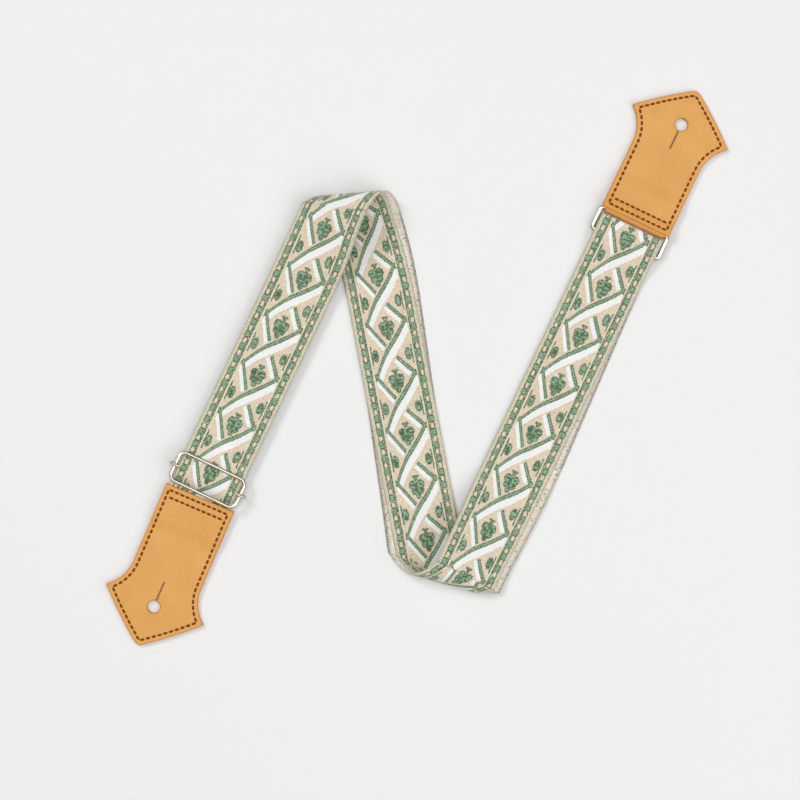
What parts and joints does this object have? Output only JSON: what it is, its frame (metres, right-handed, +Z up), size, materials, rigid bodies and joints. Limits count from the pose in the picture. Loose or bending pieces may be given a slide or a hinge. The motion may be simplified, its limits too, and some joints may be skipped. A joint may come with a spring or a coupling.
{
  "type": "guitar strap",
  "caption": "Guitar strap of doubled woven webbing, folded into an N, with leather button tabs, a wire ring and a sliding wire buckle.",
  "frame": {"origin": "under the middle of the whole laid-out strap's footprint, on the surface it lies on", "axes": "+Z up off the surface, +X towards the ring end of the folded strap, along the longest side of the footprint"},
  "size_m": [0.4648, 0.4154, 0.03],
  "materials": {
    "webbing": "jacquard woven cotton",
    "leather": "smooth vegetable-tanned",
    "thread": "waxed sewing thread",
    "wire": "bright nickel plate"
  },
  "bodies": {
    "strap": {"webbing_anchor_end": "webbing", "front_leg_1": "webbing", "front_fold_1": "webbing", "front_leg_2": "webbing", "front_fold_2": "webbing", "front_leg_3": "webbing", "ring_bight": "webbing", "return_leg_3": "webbing", "return_fold_2": "webbing", "return_leg_2": "webbing", "return_fold_1": "webbing", "return_leg_1": "webbing", "tab_b_front": "leather", "tab_b_back": "leather", "tab_b_edge_stitching": "thread", "tab_b_foot_stitching": "thread"},
    "slider_bar": {"slider_bar": "wire", "webbing_end_loop": "webbing", "end_loop_stitching": "thread"},
    "slider_frame": {"slider_frame": "wire"},
    "ring": {"ring": "wire"},
    "tab_a": {"tab_a_front": "leather", "tab_a_back": "leather", "tab_a_edge_stitching": "thread", "tab_a_foot_stitching": "thread"}
  },
  "joints": [
    {"name": "slider_slide", "type": "slide", "parent": "strap", "child": "slider_bar", "axis": [0.4313, 0.9022, 0], "range_m": [0, 0.105], "deforming": ["return_leg_1"]},
    {"name": "frame_shift", "type": "slide", "parent": "slider_bar", "child": "slider_frame", "axis": [0.4313, 0.9022, 0], "range_m": [-0.003, 0.003]},
    {"name": "ring_swing", "type": "hinge", "parent": "strap", "child": "ring", "pos_m": [0.15548, 0.09337, 0.00325], "axis": [0.9022, -0.4313, 0], "range_deg": [-45, 75]},
    {"name": "tab_a_swing", "type": "hinge", "parent": "ring", "child": "tab_a", "pos_m": [0.16325, 0.10961, 0.00325], "axis": [0.9022, -0.4313, 0], "range_deg": [-45, 55]}
  ]
}
